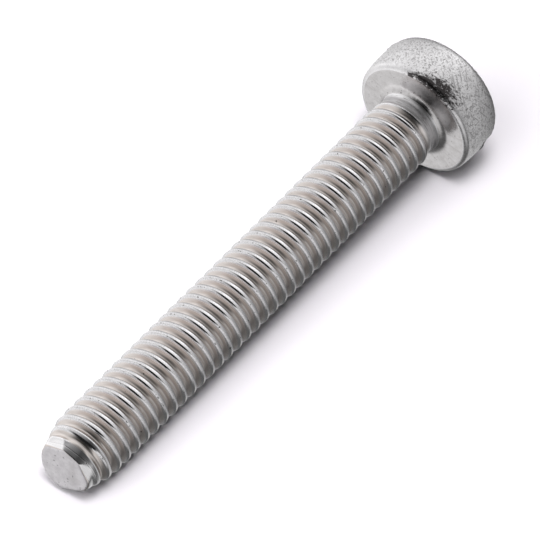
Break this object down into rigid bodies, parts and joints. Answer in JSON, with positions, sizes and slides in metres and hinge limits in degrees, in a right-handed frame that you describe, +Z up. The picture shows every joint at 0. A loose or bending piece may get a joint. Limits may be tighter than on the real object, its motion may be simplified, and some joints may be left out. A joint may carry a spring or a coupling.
{
  "type": "slotted cheese head screw",
  "caption": "Small stainless steel machine screw with a deep cylindrical slotted cheese head, a plain neck and a fine rolled thread, lying on its side.",
  "frame": {"origin": "middle of the bottom of the screw's box as it lies, on the surface that it rests on", "axes": "+X runs along the screw towards the head, level; +Z is up; the screw's own axis rises 3.35 degrees from +X, because the head is wider than the thread"},
  "size_m": [0.0284, 0.0064, 0.0064],
  "materials": {
    "stainless_steel": "tumbled satin stainless steel, brighter on the rolled thread"
  },
  "bodies": {
    "root": {"screw": "stainless_steel"}
  },
  "joints": []
}
